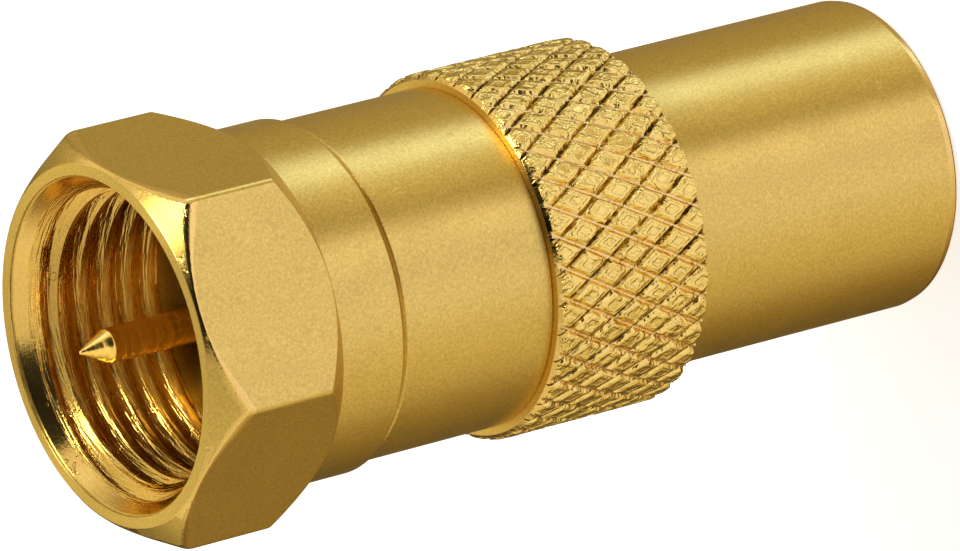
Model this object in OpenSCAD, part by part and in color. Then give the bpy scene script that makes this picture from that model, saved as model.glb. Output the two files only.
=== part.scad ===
// Adapter from an F plug with a hexagonal coupling nut to a 9.5 mm coaxial aerial plug.
// The axis is +Z and the origin is the centre of the aerial plug's rim, where it stands.
// The F plug's mouth is up. Lengths are in millimetres and angles in degrees.

/* [Aerial plug] */
// Outside diameter of the sleeve
sleeve_d = 9.52; // [9.4:0.02:9.8]
// Bore of the sleeve
sleeve_bore_d = 8.3; // [8:0.05:8.6]
// Length of the plain sleeve, from its rim to the knurled ring
sleeve_l = 10; // [9:0.1:14]
// Chamfer on each edge of the rim
rim_chamfer = 0.16; // [0.06:0.01:0.18]
// Diameter of the aerial contact
contact_d = 2.38; // [2.2:0.01:2.6]
// How far the aerial contact stops short of the rim
contact_recess = 0.5; // [0.2:0.05:2]
// Depth of the sleeve's open end, down to the insulator
sleeve_depth = 9.2; // [8:0.1:9.4]

/* [Knurled ring] */
// Diameter over the pads of the knurl
knurl_d = 11.15; // [11.1:0.05:12]
// Length of the ring
knurl_l = 5.3; // [4.5:0.1:10]
// Grooves of each hand round the ring
knurl_starts = 37; // [30:1:44]
// Angle of the grooves to the axis
knurl_angle = 30.7; // [27:0.1:36]
// Depth of the grooves
groove_depth = 0.16; // [0.1:0.01:0.18]
// Width of a groove at the top of the pads
groove_top_w = 0.24; // [0.18:0.01:0.3]
// Width of a groove at its floor
groove_floor_w = 0.06; // [0.04:0.01:0.1]
// Bevel round the front of the ring
ring_bevel = 0.38; // [0.25:0.01:0.4]

/* [Barrel] */
// Outside diameter of the barrel
barrel_d = 10.28; // [10:0.02:10.3]
// Length of the barrel, from the knurled ring to the nut
barrel_l = 5.3; // [5:0.1:12]
// Chamfer on each end of the barrel
barrel_chamfer = 0.12; // [0.05:0.01:0.2]
// Diameter of the spigot that is pressed into the knurled ring
spigot_d = 8.4; // [8:0.05:8.6]
// Length of the spigot
spigot_l = 2.7; // [2:0.1:3]
// Bore of the spigot
spigot_bore_d = 5.9; // [5:0.1:6.6]
// Thickness of the web that the ferrule seats on
web_t = 0.8; // [0.5:0.05:1.2]
// Bore through the web
web_bore_d = 3.6; // [3:0.05:4.2]

/* [Coupling nut] */
// Size across the flats
nut_af = 11; // [11:0.05:12]
// Length of the nut over all
nut_l = 6.92; // [6.6:0.02:10]
// Turn of the flats about the axis
nut_turn = 3; // [0:1:59]
// Diameter of the round collar behind the flats
collar_d = 10.68; // [10.5:0.02:10.8]
// Length of the collar
collar_l = 2.27; // [1.8:0.01:2.6]
// Chamfer on the rear edge of the collar
collar_chamfer = 0.1; // [0.04:0.01:0.15]
// Diameter where the front chamfer meets the nut's face
face_d = 10.96; // [10.8:0.02:10.98]
// Slope of the front chamfer
face_slope = 40; // [25:1:45]
// Diameter where the rear chamfer starts
back_d = 10.88; // [10.82:0.02:10.98]
// Slope of the rear chamfer
back_slope = 48; // [25:1:50]
// Depth worn off the hexagon's corners
corner_wear = 0.04; // [0.01:0.01:0.1]
// Bore at the crests of the 3/8-32 thread
thread_bore_d = 8.7; // [8.6:0.01:8.8]
// Width across the nut's mouth, where the lead-in cone starts
mouth_d = 10.1; // [9.8:0.02:10.3]
// Straight land at the mouth, before the lead-in cone
mouth_depth = 0.05; // [0.05:0.05:1]
// Bore of the groove between the thread and the lip
relief_d = 9.6; // [9.5:0.02:9.8]
// Length of that groove
relief_l = 1.1; // [1:0.05:1.4]
// Thickness of the lip that turns on the ferrule
lip_t = 0.75; // [0.6:0.01:1]

/* [Ferrule] */
// Diameter of the neck that the nut turns on
neck_d = 6.6; // [6.4:0.05:7]
// Length of the neck pressed into the barrel
neck_seat_l = 3.2; // [2.5:0.1:3.6]
// Diameter of the flange that holds the nut
flange_d = 8.3; // [8:0.02:8.5]
// Thickness of the flange
flange_t = 0.62; // [0.5:0.02:0.8]
// Bore of the ferrule round the front insulator
ferrule_bore_d = 5.4; // [5:0.05:5.6]
// Thickness of the ferrule's floor behind the insulator
ferrule_floor_t = 0.6; // [0.5:0.05:1]

/* [F contact] */
// Diameter of the F contact
f_contact_d = 1.05; // [0.8:0.01:1.1]
// How far the F contact stands out of the nut
f_reach = 0.85; // [0.2:0.05:3]
// Length of the F contact's point
f_point_l = 0.9; // [0.5:0.05:1.5]
// Diameter of the F contact's shank, which its insulator grips
f_shank_d = 1.5; // [1.45:0.05:1.7]
// Diameter of the shoulder that stops the F contact behind its insulator
f_shoulder_d = 1.9; // [1.8:0.1:2.6]

/* [Insulators and inner fits] */
// Width of the shell's inner lip that stops the rear insulator
shell_lip_w = 0.6; // [0.4:0.05:0.8]
// Thickness of that lip
shell_lip_t = 0.7; // [0.5:0.05:1]
// Diameter of the aerial contact's shank, which its insulator grips
shank_d = 2.7; // [2.5:0.05:3]
// Diameter of the collar on the aerial contact
stop_d = 3.6; // [3:0.1:4.5]
// Thickness of the collar on the aerial contact
stop_t = 1; // [0.6:0.1:1.4]
// Wall of the socket that grips the F contact
socket_wall = 0.45; // [0.35:0.05:0.6]
// Depth of that socket
socket_depth = 1.9; // [1.4:0.1:2.4]
// How far the front insulator lies below the ferrule's face
insulator_recess = 0.1; // [0.05:0.01:0.3]
// Radial clearance of the nut on the neck
nut_clearance = 0.05; // [0.02:0.01:0.1]
// Gap in front of the nut's lip and behind it
nut_end_play = 0.1; // [0.05:0.01:0.15]

/* [Hidden] */
$fn = 96;

gold = [0.82, 0.68, 0.35];
bright_gold = [0.86, 0.66, 0.26];
milky = [0.93, 0.92, 0.88];

// How far a cutter passes the face that it cuts
over = 0.1;
// Lead-in on an edge that is pressed into a bore
lead_in = 0.15;

// Heights above the rim
ring_z = sleeve_l;
seam_z = ring_z + knurl_l;
barrel_top = seam_z + barrel_l;
nut_z = barrel_top + nut_end_play;
nut_top = nut_z + nut_l;
flange_z = nut_z + lip_t + nut_end_play;
flange_top = flange_z + flange_t;
ferrule_z = barrel_top - neck_seat_l;
front_seat_z = ferrule_z + ferrule_floor_t;
spigot_z = seam_z - spigot_l;
rear_seat_z = sleeve_depth + shell_lip_t;
stop_z = spigot_z - stop_t;
socket_top = spigot_z + socket_depth;
f_tip_z = nut_top + f_reach;

// The knurl's pads stand on the ring in rows half a pitch apart.
// The first row lies across the ring's rear end, which cuts it off a little behind its middle.
root_r = knurl_d / 2 - groove_depth;
pad_pitch = PI * knurl_d / knurl_starts;
row_pitch = pad_pitch / tan(knurl_angle) / 2;
first_row_z = ring_z + row_pitch / 4;
last_row = ceil(knurl_l / row_pitch);
pad_sink = groove_depth / 4;

// A turned piece, from its half section of [radius, height] points
module turned(section) {
    rotate_extrude() polygon(section);
}

// One ridge between two parallel grooves, lying on the ring and turned to the groove's angle.
// X points out of the ring. Its flanks run on a little below the ring and above its own top.
module ridge(turn) {
    width = pad_pitch * cos(knurl_angle);
    top_w = width - groove_top_w;
    foot_w = width - groove_floor_w;
    spread = (foot_w - top_w) / groove_depth * pad_sink;
    rotate([turn, 0, 0])
        linear_extrude(2 * pad_pitch, center = true)
            polygon([
                [-pad_sink, -(foot_w + spread) / 2],
                [groove_depth + pad_sink, -(top_w - spread) / 2],
                [groove_depth + pad_sink, (top_w - spread) / 2],
                [-pad_sink, (foot_w + spread) / 2]
            ]);
}

// A pad is what is left where a right-hand ridge crosses a left-hand one
module knurl_pad() {
    intersection() {
        ridge(knurl_angle);
        ridge(-knurl_angle);
    }
}

// The pads all round the ring, trimmed to its ends, its bevel and its full diameter
module knurl() {
    intersection() {
        for (row = [-1 : last_row], start = [0 : knurl_starts - 1])
            rotate([0, 0, (start + abs(row) % 2 / 2) * 360 / knurl_starts])
                translate([root_r, 0, first_row_z + row * row_pitch])
                    knurl_pad();
        turned([
            [root_r - groove_depth, ring_z],
            [knurl_d / 2, ring_z],
            [knurl_d / 2, seam_z - ring_bevel],
            [knurl_d / 2 - ring_bevel, seam_z],
            [root_r - groove_depth, seam_z]
        ]);
    }
}

// Sleeve of the aerial plug and knurled ring, turned from one bar
module rear_shell() color(gold) {
    lip_bore_r = sleeve_bore_d / 2 - shell_lip_w;
    turned([
        [sleeve_bore_d / 2, rim_chamfer],
        [sleeve_bore_d / 2 + rim_chamfer, 0],
        [sleeve_d / 2 - rim_chamfer, 0],
        [sleeve_d / 2, rim_chamfer],
        [sleeve_d / 2, ring_z],
        [root_r, ring_z],
        [root_r, seam_z - ring_bevel + groove_depth],
        [knurl_d / 2 - ring_bevel, seam_z],
        [spigot_d / 2 + lead_in, seam_z],
        [spigot_d / 2, seam_z - lead_in],
        [spigot_d / 2, rear_seat_z],
        [lip_bore_r, rear_seat_z],
        [lip_bore_r, sleeve_depth],
        [sleeve_bore_d / 2, sleeve_depth]
    ]);
    knurl();
}

// Plain barrel: its spigot is pressed into the ring, and the ferrule into its front
module barrel() color(gold) {
    turned([
        [spigot_bore_d / 2, spigot_z],
        [spigot_d / 2 - lead_in, spigot_z],
        [spigot_d / 2, spigot_z + lead_in],
        [spigot_d / 2, seam_z],
        [barrel_d / 2 - barrel_chamfer, seam_z],
        [barrel_d / 2, seam_z + barrel_chamfer],
        [barrel_d / 2, barrel_top - barrel_chamfer],
        [barrel_d / 2 - barrel_chamfer, barrel_top],
        [neck_d / 2, barrel_top],
        [neck_d / 2, ferrule_z],
        [web_bore_d / 2, ferrule_z],
        [web_bore_d / 2, ferrule_z - web_t],
        [spigot_bore_d / 2, ferrule_z - web_t]
    ]);
}

// Flanged ferrule: earth face of the F plug and bearing of the nut
module ferrule() color(gold) {
    turned([
        [web_bore_d / 2, ferrule_z],
        [neck_d / 2 - lead_in, ferrule_z],
        [neck_d / 2, ferrule_z + lead_in],
        [neck_d / 2, flange_z],
        [flange_d / 2, flange_z],
        [flange_d / 2, flange_top - lead_in],
        [flange_d / 2 - lead_in, flange_top],
        [ferrule_bore_d / 2, flange_top],
        [ferrule_bore_d / 2, front_seat_z],
        [web_bore_d / 2, front_seat_z]
    ]);
}

// Outside of the nut: a hexagon chamfered at both ends, and a round collar behind it
module nut_blank() {
    corner_r = nut_af / sqrt(3) - corner_wear;
    intersection() {
        translate([0, 0, collar_l])
            rotate([0, 0, nut_turn])
                cylinder(h = nut_l - collar_l, r = nut_af / sqrt(3), $fn = 6);
        turned([
            [0, collar_l],
            [back_d / 2, collar_l],
            [corner_r, collar_l + (corner_r - back_d / 2) * tan(back_slope)],
            [corner_r, nut_l - (corner_r - face_d / 2) * tan(face_slope)],
            [face_d / 2, nut_l],
            [0, nut_l]
        ]);
    }
    turned([
        [0, 0],
        [collar_d / 2 - collar_chamfer, 0],
        [collar_d / 2, collar_chamfer],
        [collar_d / 2, collar_l + over],
        [0, collar_l + over]
    ]);
}

// Inside of the nut: lip bore, relief, bore at the thread's crests, and the lead-in cone at the mouth
module nut_bore() {
    lip_bore_r = neck_d / 2 + nut_clearance;
    thread_z = lip_t + relief_l;
    mouth_z = nut_l - mouth_depth;
    turned([
        [0, -over],
        [lip_bore_r, -over],
        [lip_bore_r, lip_t],
        [relief_d / 2, lip_t],
        [relief_d / 2, thread_z],
        [thread_bore_d / 2, thread_z + (relief_d - thread_bore_d) / 2],
        [thread_bore_d / 2, mouth_z - (mouth_d - thread_bore_d) / 2],
        [mouth_d / 2, mouth_z],
        [mouth_d / 2, nut_l + over],
        [0, nut_l + over]
    ]);
}

module coupling_nut() color(gold) {
    translate([0, 0, nut_z])
        difference() {
            nut_blank();
            nut_bore();
        }
}

// Rear insulator: its nose fills the shell's lip, and the spigot holds it down
module rear_insulator() color(milky) {
    nose_r = sleeve_bore_d / 2 - shell_lip_w;
    turned([
        [shank_d / 2, sleeve_depth],
        [nose_r, sleeve_depth],
        [nose_r, rear_seat_z],
        [spigot_d / 2, rear_seat_z],
        [spigot_d / 2, spigot_z],
        [stop_d / 2, spigot_z],
        [stop_d / 2, stop_z],
        [shank_d / 2, stop_z]
    ]);
}

// Front insulator: a plug that centres the F contact in the ferrule
module front_insulator() color(milky) {
    turned([
        [f_shank_d / 2, front_seat_z],
        [ferrule_bore_d / 2, front_seat_z],
        [ferrule_bore_d / 2, flange_top - insulator_recess],
        [f_shank_d / 2, flange_top - insulator_recess]
    ]);
}

// Aerial contact: rounded pin, thicker shank and collar held in the insulator, and socket for the
// F contact
module aerial_contact() color(bright_gold) {
    nose_r = contact_d / 5;
    nose_z = contact_recess + nose_r;
    socket_z = spigot_z + lead_in;
    difference() {
        union() {
            rotate_extrude() {
                translate([0, contact_recess]) square([contact_d / 2 - nose_r, nose_r]);
                translate([contact_d / 2 - nose_r, nose_z]) circle(nose_r);
            }
            turned([
                [0, nose_z],
                [contact_d / 2, nose_z],
                [contact_d / 2, sleeve_depth],
                [shank_d / 2, sleeve_depth],
                [shank_d / 2, stop_z],
                [stop_d / 2, stop_z],
                [stop_d / 2, spigot_z],
                [f_contact_d / 2 + socket_wall, spigot_z],
                [f_contact_d / 2 + socket_wall, socket_top],
                [0, socket_top]
            ]);
        }
        translate([0, 0, socket_z]) cylinder(h = socket_depth, d = f_contact_d);
    }
}

// F contact: pointed pin with a thicker shank in the front insulator and a shoulder behind it
module f_contact() color(bright_gold) {
    shoulder_t = ferrule_floor_t / 2;
    tip_r = f_contact_d / 20;
    turned([
        [0, spigot_z + lead_in],
        [f_contact_d / 2, spigot_z + lead_in],
        [f_contact_d / 2, front_seat_z - shoulder_t],
        [f_shoulder_d / 2, front_seat_z - shoulder_t],
        [f_shoulder_d / 2, front_seat_z],
        [f_shank_d / 2, front_seat_z],
        [f_shank_d / 2, flange_top - insulator_recess],
        [f_contact_d / 2, flange_top - insulator_recess],
        [f_contact_d / 2, f_tip_z - f_point_l],
        [tip_r, f_tip_z],
        [0, f_tip_z]
    ]);
}

rear_shell();
barrel();
ferrule();
coupling_nut();
rear_insulator();
front_insulator();
aerial_contact();
f_contact();
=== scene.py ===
# %% [markdown]
# # An adapter from an F plug to a coaxial aerial plug
# The object is about 28 mm long and made of gold-plated brass. From the bottom up it has a plain
# sleeve, a knurled ring, a smooth barrel and a hexagonal coupling nut that turns.
# The CAD model is loaded first and gives every place. Each visible piece is then made again here
# with finer edges, because a lathe-turned edge is what catches the light on polished metal.

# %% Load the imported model
import math

import bmesh
import bpy
from mathutils import Matrix, Vector


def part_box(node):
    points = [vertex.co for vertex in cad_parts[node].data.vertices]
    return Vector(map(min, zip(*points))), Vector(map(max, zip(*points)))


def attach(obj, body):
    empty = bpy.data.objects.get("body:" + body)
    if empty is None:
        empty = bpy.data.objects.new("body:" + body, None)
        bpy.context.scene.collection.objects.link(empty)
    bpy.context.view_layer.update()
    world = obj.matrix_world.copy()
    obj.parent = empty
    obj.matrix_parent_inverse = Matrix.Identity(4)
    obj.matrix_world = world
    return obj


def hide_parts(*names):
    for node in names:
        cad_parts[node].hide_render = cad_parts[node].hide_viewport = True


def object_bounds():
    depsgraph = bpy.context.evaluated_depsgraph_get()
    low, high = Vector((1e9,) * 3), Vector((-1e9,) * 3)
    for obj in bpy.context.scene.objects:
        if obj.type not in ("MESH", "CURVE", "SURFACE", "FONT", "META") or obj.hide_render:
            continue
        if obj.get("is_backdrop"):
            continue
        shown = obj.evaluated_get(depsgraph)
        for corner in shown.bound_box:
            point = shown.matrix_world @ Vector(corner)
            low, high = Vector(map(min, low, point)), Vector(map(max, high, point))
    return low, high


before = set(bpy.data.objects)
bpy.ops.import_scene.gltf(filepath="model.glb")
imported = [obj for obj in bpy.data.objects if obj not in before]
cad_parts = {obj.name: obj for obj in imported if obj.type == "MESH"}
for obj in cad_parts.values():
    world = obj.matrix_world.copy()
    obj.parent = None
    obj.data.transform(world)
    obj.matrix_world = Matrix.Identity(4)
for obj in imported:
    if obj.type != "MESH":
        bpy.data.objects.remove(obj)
cad_low, cad_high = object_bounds()
MM = 0.001
print("nodes:", ", ".join(sorted(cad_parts)))
print("box in mm:", [round(side / MM, 2) for side in cad_high - cad_low])

# %% [markdown]
# ## Camera
# A long lens keeps the adapter's sides nearly parallel. The camera looks down at the upright
# adapter and is rolled, so that the adapter lies across the view with its open nut at the left.
# Its axes are built from the two angles, because a matrix leaves no doubt about the order of turns.

# %% Place the camera
VIEW_RISE = math.radians(32.797)
VIEW_ROLL = math.radians(-104.425)
VIEW_AWAY, VIEW_LEFT, VIEW_DOWN = 334.799, 11.6151, 3.7221
LENS, SENSOR = 414.42, 36
sideways = Vector((1, 0, 0))
rise = Vector((0, math.sin(VIEW_RISE), math.cos(VIEW_RISE)))
towards_camera = Vector((0, -math.cos(VIEW_RISE), math.sin(VIEW_RISE)))
camera_right = math.cos(VIEW_ROLL) * sideways + math.sin(VIEW_ROLL) * rise
camera_up = math.cos(VIEW_ROLL) * rise - math.sin(VIEW_ROLL) * sideways
camera_place = VIEW_AWAY * towards_camera - VIEW_LEFT * camera_right - VIEW_DOWN * camera_up
camera_place *= MM

camera_data = bpy.data.cameras.new("camera")
camera_data.sensor_width = SENSOR
camera_data.lens = LENS
camera_data.clip_start = 0.01
camera_data.clip_end = 20
camera = bpy.data.objects.new("camera", camera_data)
bpy.context.collection.objects.link(camera)
turn = Matrix((camera_right, camera_up, towards_camera)).transposed().to_4x4()
camera.matrix_world = Matrix.Translation(camera_place) @ turn
bpy.context.scene.camera = camera
print("camera at", [round(c / MM, 1) for c in camera_place], "mm")

# %% [markdown]
# ## Two helpers for materials
# Colours are written as sRGB hex values, as a paint program shows them, and Blender's sockets take
# linear light. One function turns the first into the second.
# The other helper adds one node with its settings, its values and its links. Four node names
# that come up again and again are kept short.

# %% Helpers for colours and nodes
MATH, VECTOR, RANGE = "ShaderNodeMath", "ShaderNodeVectorMath", "ShaderNodeMapRange"
NOISE = "ShaderNodeTexNoise"


def linear(code, level=1.0):
    parts = [int(code[place:place + 2], 16) / 255 for place in (1, 3, 5)]
    parts = [c / 12.92 if c <= 0.04045 else ((c + 0.055) / 1.055) ** 2.4 for c in parts]
    return (*[c * level for c in parts], 1.0)


def add(tree, kind, inputs=(), **settings):
    """Adds a node. A value is a number, a colour, a socket, or a node, meaning its first output."""
    made = tree.nodes.new(kind)
    for name, value in settings.items():
        setattr(made, name, value)
    for name, value in (inputs.items() if isinstance(inputs, dict) else enumerate(inputs)):
        value = value.outputs[0] if isinstance(value, bpy.types.Node) else value
        if isinstance(value, bpy.types.NodeSocket):
            tree.links.new(value, made.inputs[name])
        else:
            made.inputs[name].default_value = value
    return made


def empty_material(name):
    material = bpy.data.materials.new(name)
    material.use_nodes = True
    material.node_tree.nodes.clear()
    return material, material.node_tree


print("gold as linear light:", [round(c, 3) for c in linear("#E6C274")])

# %% [markdown]
# ## Gold-plated brass
# The turned surfaces were blasted lightly and then plated, so the gold is satin and not a mirror.
# Fine marks of the lathe still run round the axis. They spread a reflection along the axis and
# leave it fairly sharp across, which is why the light lies in long bands. The anisotropy does that,
# with a tangent that goes round the axis, turned a quarter.
# The blasted grain is 0.05 to 0.1 mm. Its bump is very low, because plating fills it. The lathe's
# marks are noise squeezed along the axis, 0.06 mm apart. The tap's in the thread are 0.08 mm apart,
# and the contact's slow ripples 0.45 mm. A few nicks of handling are bent, thin scratches.
# One metal has four finishes here: satin outside, bright where a countersink or handling polished
# it, ribbed by the tap in the thread, and smooth with slow ripples on the contacts' drawn wire.
# Gold turns paler where it is seen at a grazing angle, but not white, so its edge tint is cream.

# %% Gold
EDGE_TINT = linear("#F9EBCB")
print("edge tint:", [round(c, 3) for c in EDGE_TINT])


def gold_material(name, colour, roughness, grain, stretch, grain_height, lathe, nick_height):
    """Heights are in mm. lathe is the spacing and height of its marks, stretch how they smear."""
    mark_gap, mark_height = lathe
    material, tree = empty_material(name)
    place = add(tree, "ShaderNodeTexCoord").outputs["Object"]
    fine = add(tree, NOISE, {
        "Vector": place, "Scale": 1 / (0.085 * MM), "Detail": 3.0, "Roughness": 0.6})
    cloud = add(tree, NOISE, {
        "Vector": place, "Scale": 1 / (1.4 * MM), "Detail": 2.0, "Roughness": 0.5})
    shade = add(tree, RANGE, {
        "Value": fine, "From Min": 0.3, "From Max": 0.7, "To Min": 1 - grain, "To Max": 1.0})
    base = add(tree, "ShaderNodeMix", {
        0: shade, 6: (0, 0, 0, 1), 7: linear(colour)}, data_type="RGBA")
    gloss = add(tree, RANGE, {
        "Value": cloud, "From Min": 0.3, "From Max": 0.7,
        "To Min": roughness - 0.03, "To Max": roughness + 0.03})
    blasted = add(tree, "ShaderNodeBump", {
        "Height": fine, "Strength": 1.0, "Distance": grain_height * MM})
    squeezed = add(tree, "ShaderNodeMapping", {
        "Vector": place, "Scale": (0.6 / MM, 0.6 / MM, 1 / (mark_gap * MM))})
    marks = add(tree, NOISE, {"Vector": squeezed, "Scale": 1.0, "Detail": 2.0, "Roughness": 0.6})
    turned = add(tree, "ShaderNodeBump", {
        "Height": marks, "Strength": 1.0, "Distance": mark_height * MM, "Normal": blasted})
    bent = add(tree, NOISE, {
        "Vector": place, "Scale": 1 / (0.7 * MM), "Detail": 1.0, "Roughness": 0.5,
        "Distortion": 2.0})
    line = add(tree, MATH, (bent, 0.6), operation="SUBTRACT")
    nick = add(tree, RANGE, {
        "Value": add(tree, MATH, (line,), operation="ABSOLUTE"),
        "From Min": 0.0, "From Max": 0.03, "To Min": 0.0, "To Max": 1.0})
    rare = add(tree, NOISE, {"Vector": place, "Scale": 1 / (1.1 * MM), "Detail": 2.0})
    there = add(tree, RANGE, {
        "Value": rare, "From Min": 0.6, "From Max": 0.66, "To Min": 1.0, "To Max": 0.0})
    scratch = add(tree, MATH, (nick, there), operation="MAXIMUM")
    nicked = add(tree, "ShaderNodeBump", {
        "Height": scratch, "Strength": 1.0, "Distance": nick_height * MM, "Normal": turned})
    way = add(tree, "ShaderNodeTangent", direction_type="RADIAL", axis="Z")
    shader = add(tree, "ShaderNodeBsdfPrincipled", {
        "Base Color": base.outputs[2], "Metallic": 1.0, "Roughness": gloss, "Anisotropic": stretch,
        "Anisotropic Rotation": 0.25, "Specular Tint": EDGE_TINT,
        "Normal": nicked, "Tangent": way})
    add(tree, "ShaderNodeOutputMaterial", {"Surface": shader})
    return material

# %% Four finishes of gold
satin_gold = gold_material(
    "gold_plated_brass_satin", "#E9C35F", roughness=0.3, grain=0.28, stretch=0.9,
    grain_height=0.0035, lathe=(0.06, 0.0012), nick_height=0.0025)
bright_gold = gold_material(
    "gold_plated_brass_bright", "#EEC468", roughness=0.15, grain=0.15, stretch=0.0,
    grain_height=0.004, lathe=(0.06, 0.004), nick_height=0.02)
# Painted light: the thread's gold is set a little lighter, to make up for the little light inside
# the nut
thread_gold = gold_material(
    "gold_plated_brass_thread", "#F0C25E", roughness=0.17, grain=0.25, stretch=0.0,
    grain_height=0.006, lathe=(0.08, 0.04), nick_height=0.012)
# Painted light: the contacts' gold is set lighter, to make up for the little light inside the nut
contact_gold = gold_material(
    "gold_plated_contact", "#FFD366", roughness=0.2, grain=0.0, stretch=0.0,
    grain_height=0.0004, lathe=(0.45, 0.05), nick_height=0.0)
print(satin_gold.name, bright_gold.name, thread_gold.name, contact_gold.name)

# %% [markdown]
# ## Painted shade in the gap
# The gap between the barrel and the nut is real and narrow. Its wall is painted dark brown as
# painted shade, which draws a thin dark line round the adapter. Only the barrel's end in the gap
# gets this painted shade, and it is only partly metallic.

# %% Painted shade in the gap
# Painted shade: dark browns that stand in for the shade inside the gap
def gap_shade_material():
    material, tree = empty_material("painted_gap_shade")
    place = add(tree, "ShaderNodeTexCoord").outputs["Object"]
    spots = add(tree, NOISE, {"Vector": place, "Scale": 1 / (0.3 * MM), "Detail": 3.0})
    colour = add(tree, "ShaderNodeValToRGB", {"Fac": spots})
    colour.color_ramp.elements[0].color = linear("#2A1C0A")
    colour.color_ramp.elements[0].position = 0.35
    colour.color_ramp.elements[1].color = linear("#6B4A1C")
    colour.color_ramp.elements[1].position = 0.7
    shader = add(tree, "ShaderNodeBsdfPrincipled", {
        "Base Color": colour, "Metallic": 0.6, "Roughness": 0.55})
    add(tree, "ShaderNodeOutputMaterial", {"Surface": shader})
    return material


painted_gap_shade = gap_shade_material()
print(painted_gap_shade.name)

# %% [markdown]
# ## Gold on the knurl
# A knurl is pressed and not cut. The wheels push metal up round each pad and leave its middle as it
# was, so a pad is a shallow dish with a torn edge, and its skin is crinkled. The second wheel's
# grooves are painted light, as a painted highlight. The first wheel's narrower grooves are painted
# dark, as painted shade.
# How high a point stands, how near it is to its pad's side, whose groove it is in and a random
# number for its pad are kept as attributes of the mesh, and the colour and the bump follow them.

# %% Knurl gold
def knurl_material():
    material, tree = empty_material("gold_plated_brass_knurled")
    place = add(tree, "ShaderNodeTexCoord").outputs["Object"]
    height = add(tree, "ShaderNodeAttribute", attribute_name="pad_height").outputs["Fac"]
    reach = add(tree, "ShaderNodeAttribute", attribute_name="pad_reach").outputs["Fac"]
    side = add(tree, "ShaderNodeAttribute", attribute_name="pad_side").outputs["Fac"]
    luck = add(tree, "ShaderNodeAttribute", attribute_name="pad_luck").outputs["Fac"]
    pits = add(tree, NOISE, {
        "Vector": place, "Scale": 1 / (0.1 * MM), "Detail": 3.0, "Roughness": 0.6})
    tatter = add(tree, NOISE, {
        "Vector": place, "Scale": 1 / (0.2 * MM), "Detail": 3.0, "Roughness": 0.6})
    fold = add(tree, NOISE, {
        "Vector": place, "Scale": 1 / (0.5 * MM), "Detail": 2.0, "Distortion": 0.8})
    # Painted highlight in the second wheel's grooves, painted shade in the first wheel's
    groove = add(tree, "ShaderNodeMix", {
        0: side, 6: linear("#E8C477"), 7: linear("#7A5212")}, data_type="RGBA")
    # The groove's edge is torn too, so its width wavers
    ragged = add(tree, MATH, (tatter, 0.5), operation="SUBTRACT")
    shore = add(tree, MATH, (height, ragged), operation="ADD")
    rise = add(tree, RANGE, {
        "Value": shore, "From Min": 0.02, "From Max": 0.3, "To Min": 0.0, "To Max": 1.0},
        interpolation_type="SMOOTHSTEP")
    colour = add(tree, "ShaderNodeMix", {
        0: rise, 6: groove.outputs[2], 7: linear("#EFCB68")}, data_type="RGBA")
    # Painted shade: near black here and there round the ring, deepest low in the first wheel's
    # grooves
    patch = add(tree, NOISE, {
        "Vector": place, "Scale": 1 / (2.4 * MM), "Detail": 3.0, "Roughness": 0.7})
    patch = add(tree, RANGE, {
        "Value": patch, "From Min": 0.5, "From Max": 0.58, "To Min": 0.0, "To Max": 0.9})
    low = add(tree, RANGE, {
        "Value": shore, "From Min": 0.1, "From Max": 0.45, "To Min": 1.0, "To Max": 0.0})
    groove_shade = add(tree, MATH, (patch, low), operation="MULTIPLY")
    groove_shade = add(tree, MATH, (groove_shade, side), operation="MULTIPLY")
    colour = add(tree, "ShaderNodeMix", {
        0: groove_shade, 6: colour.outputs[2], 7: linear("#2B1B08")}, data_type="RGBA")
    # The raised rim wanders, and is further in on some pads than on others
    wander = add(tree, MATH, (ragged, 0.35), operation="MULTIPLY")
    own = add(tree, MATH, (luck, 0.15), operation="MULTIPLY")
    edge = add(tree, MATH, (reach, wander), operation="ADD")
    edge = add(tree, MATH, (edge, own), operation="ADD")
    inside = add(tree, RANGE, {
        "Value": edge, "From Min": 0.36, "From Max": 0.48, "To Min": 0.0, "To Max": 1.0},
        interpolation_type="SMOOTHSTEP")
    outside = add(tree, RANGE, {
        "Value": edge, "From Min": 0.6, "From Max": 0.76, "To Min": 1.0, "To Max": 0.2},
        interpolation_type="SMOOTHSTEP")
    rim = add(tree, MATH, (inside, outside), operation="MULTIPLY")
    gloss = add(tree, RANGE, {
        "Value": pits, "From Min": 0.35, "From Max": 0.65, "To Min": 0.16, "To Max": 0.3})
    rimmed = add(tree, "ShaderNodeBump", {"Height": rim, "Strength": 1.0, "Distance": 0.03 * MM})
    folded = add(tree, "ShaderNodeBump", {
        "Height": fold, "Strength": 1.0, "Distance": 0.16 * MM, "Normal": rimmed})
    crinkled = add(tree, "ShaderNodeBump", {
        "Height": pits, "Strength": 1.0, "Distance": 0.01 * MM, "Normal": folded})
    shader = add(tree, "ShaderNodeBsdfPrincipled", {
        "Base Color": colour.outputs[2], "Metallic": 1.0, "Roughness": gloss,
        "Specular Tint": EDGE_TINT, "Normal": crinkled})
    add(tree, "ShaderNodeOutputMaterial", {"Surface": shader})
    return material


knurled_gold = knurl_material()
print(knurled_gold.name)

# %% [markdown]
# ## Natural white plastic
# The insulators are turned from a waxy white plastic, such as polyethylene. Light enters it a
# little, and the lathe leaves rings on its faces. They are about 0.1 mm apart, which is too fine to
# show, so they are drawn 0.658 mm apart. A Wave Texture has 20 waves in each 2 pi at a scale of 1.

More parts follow.
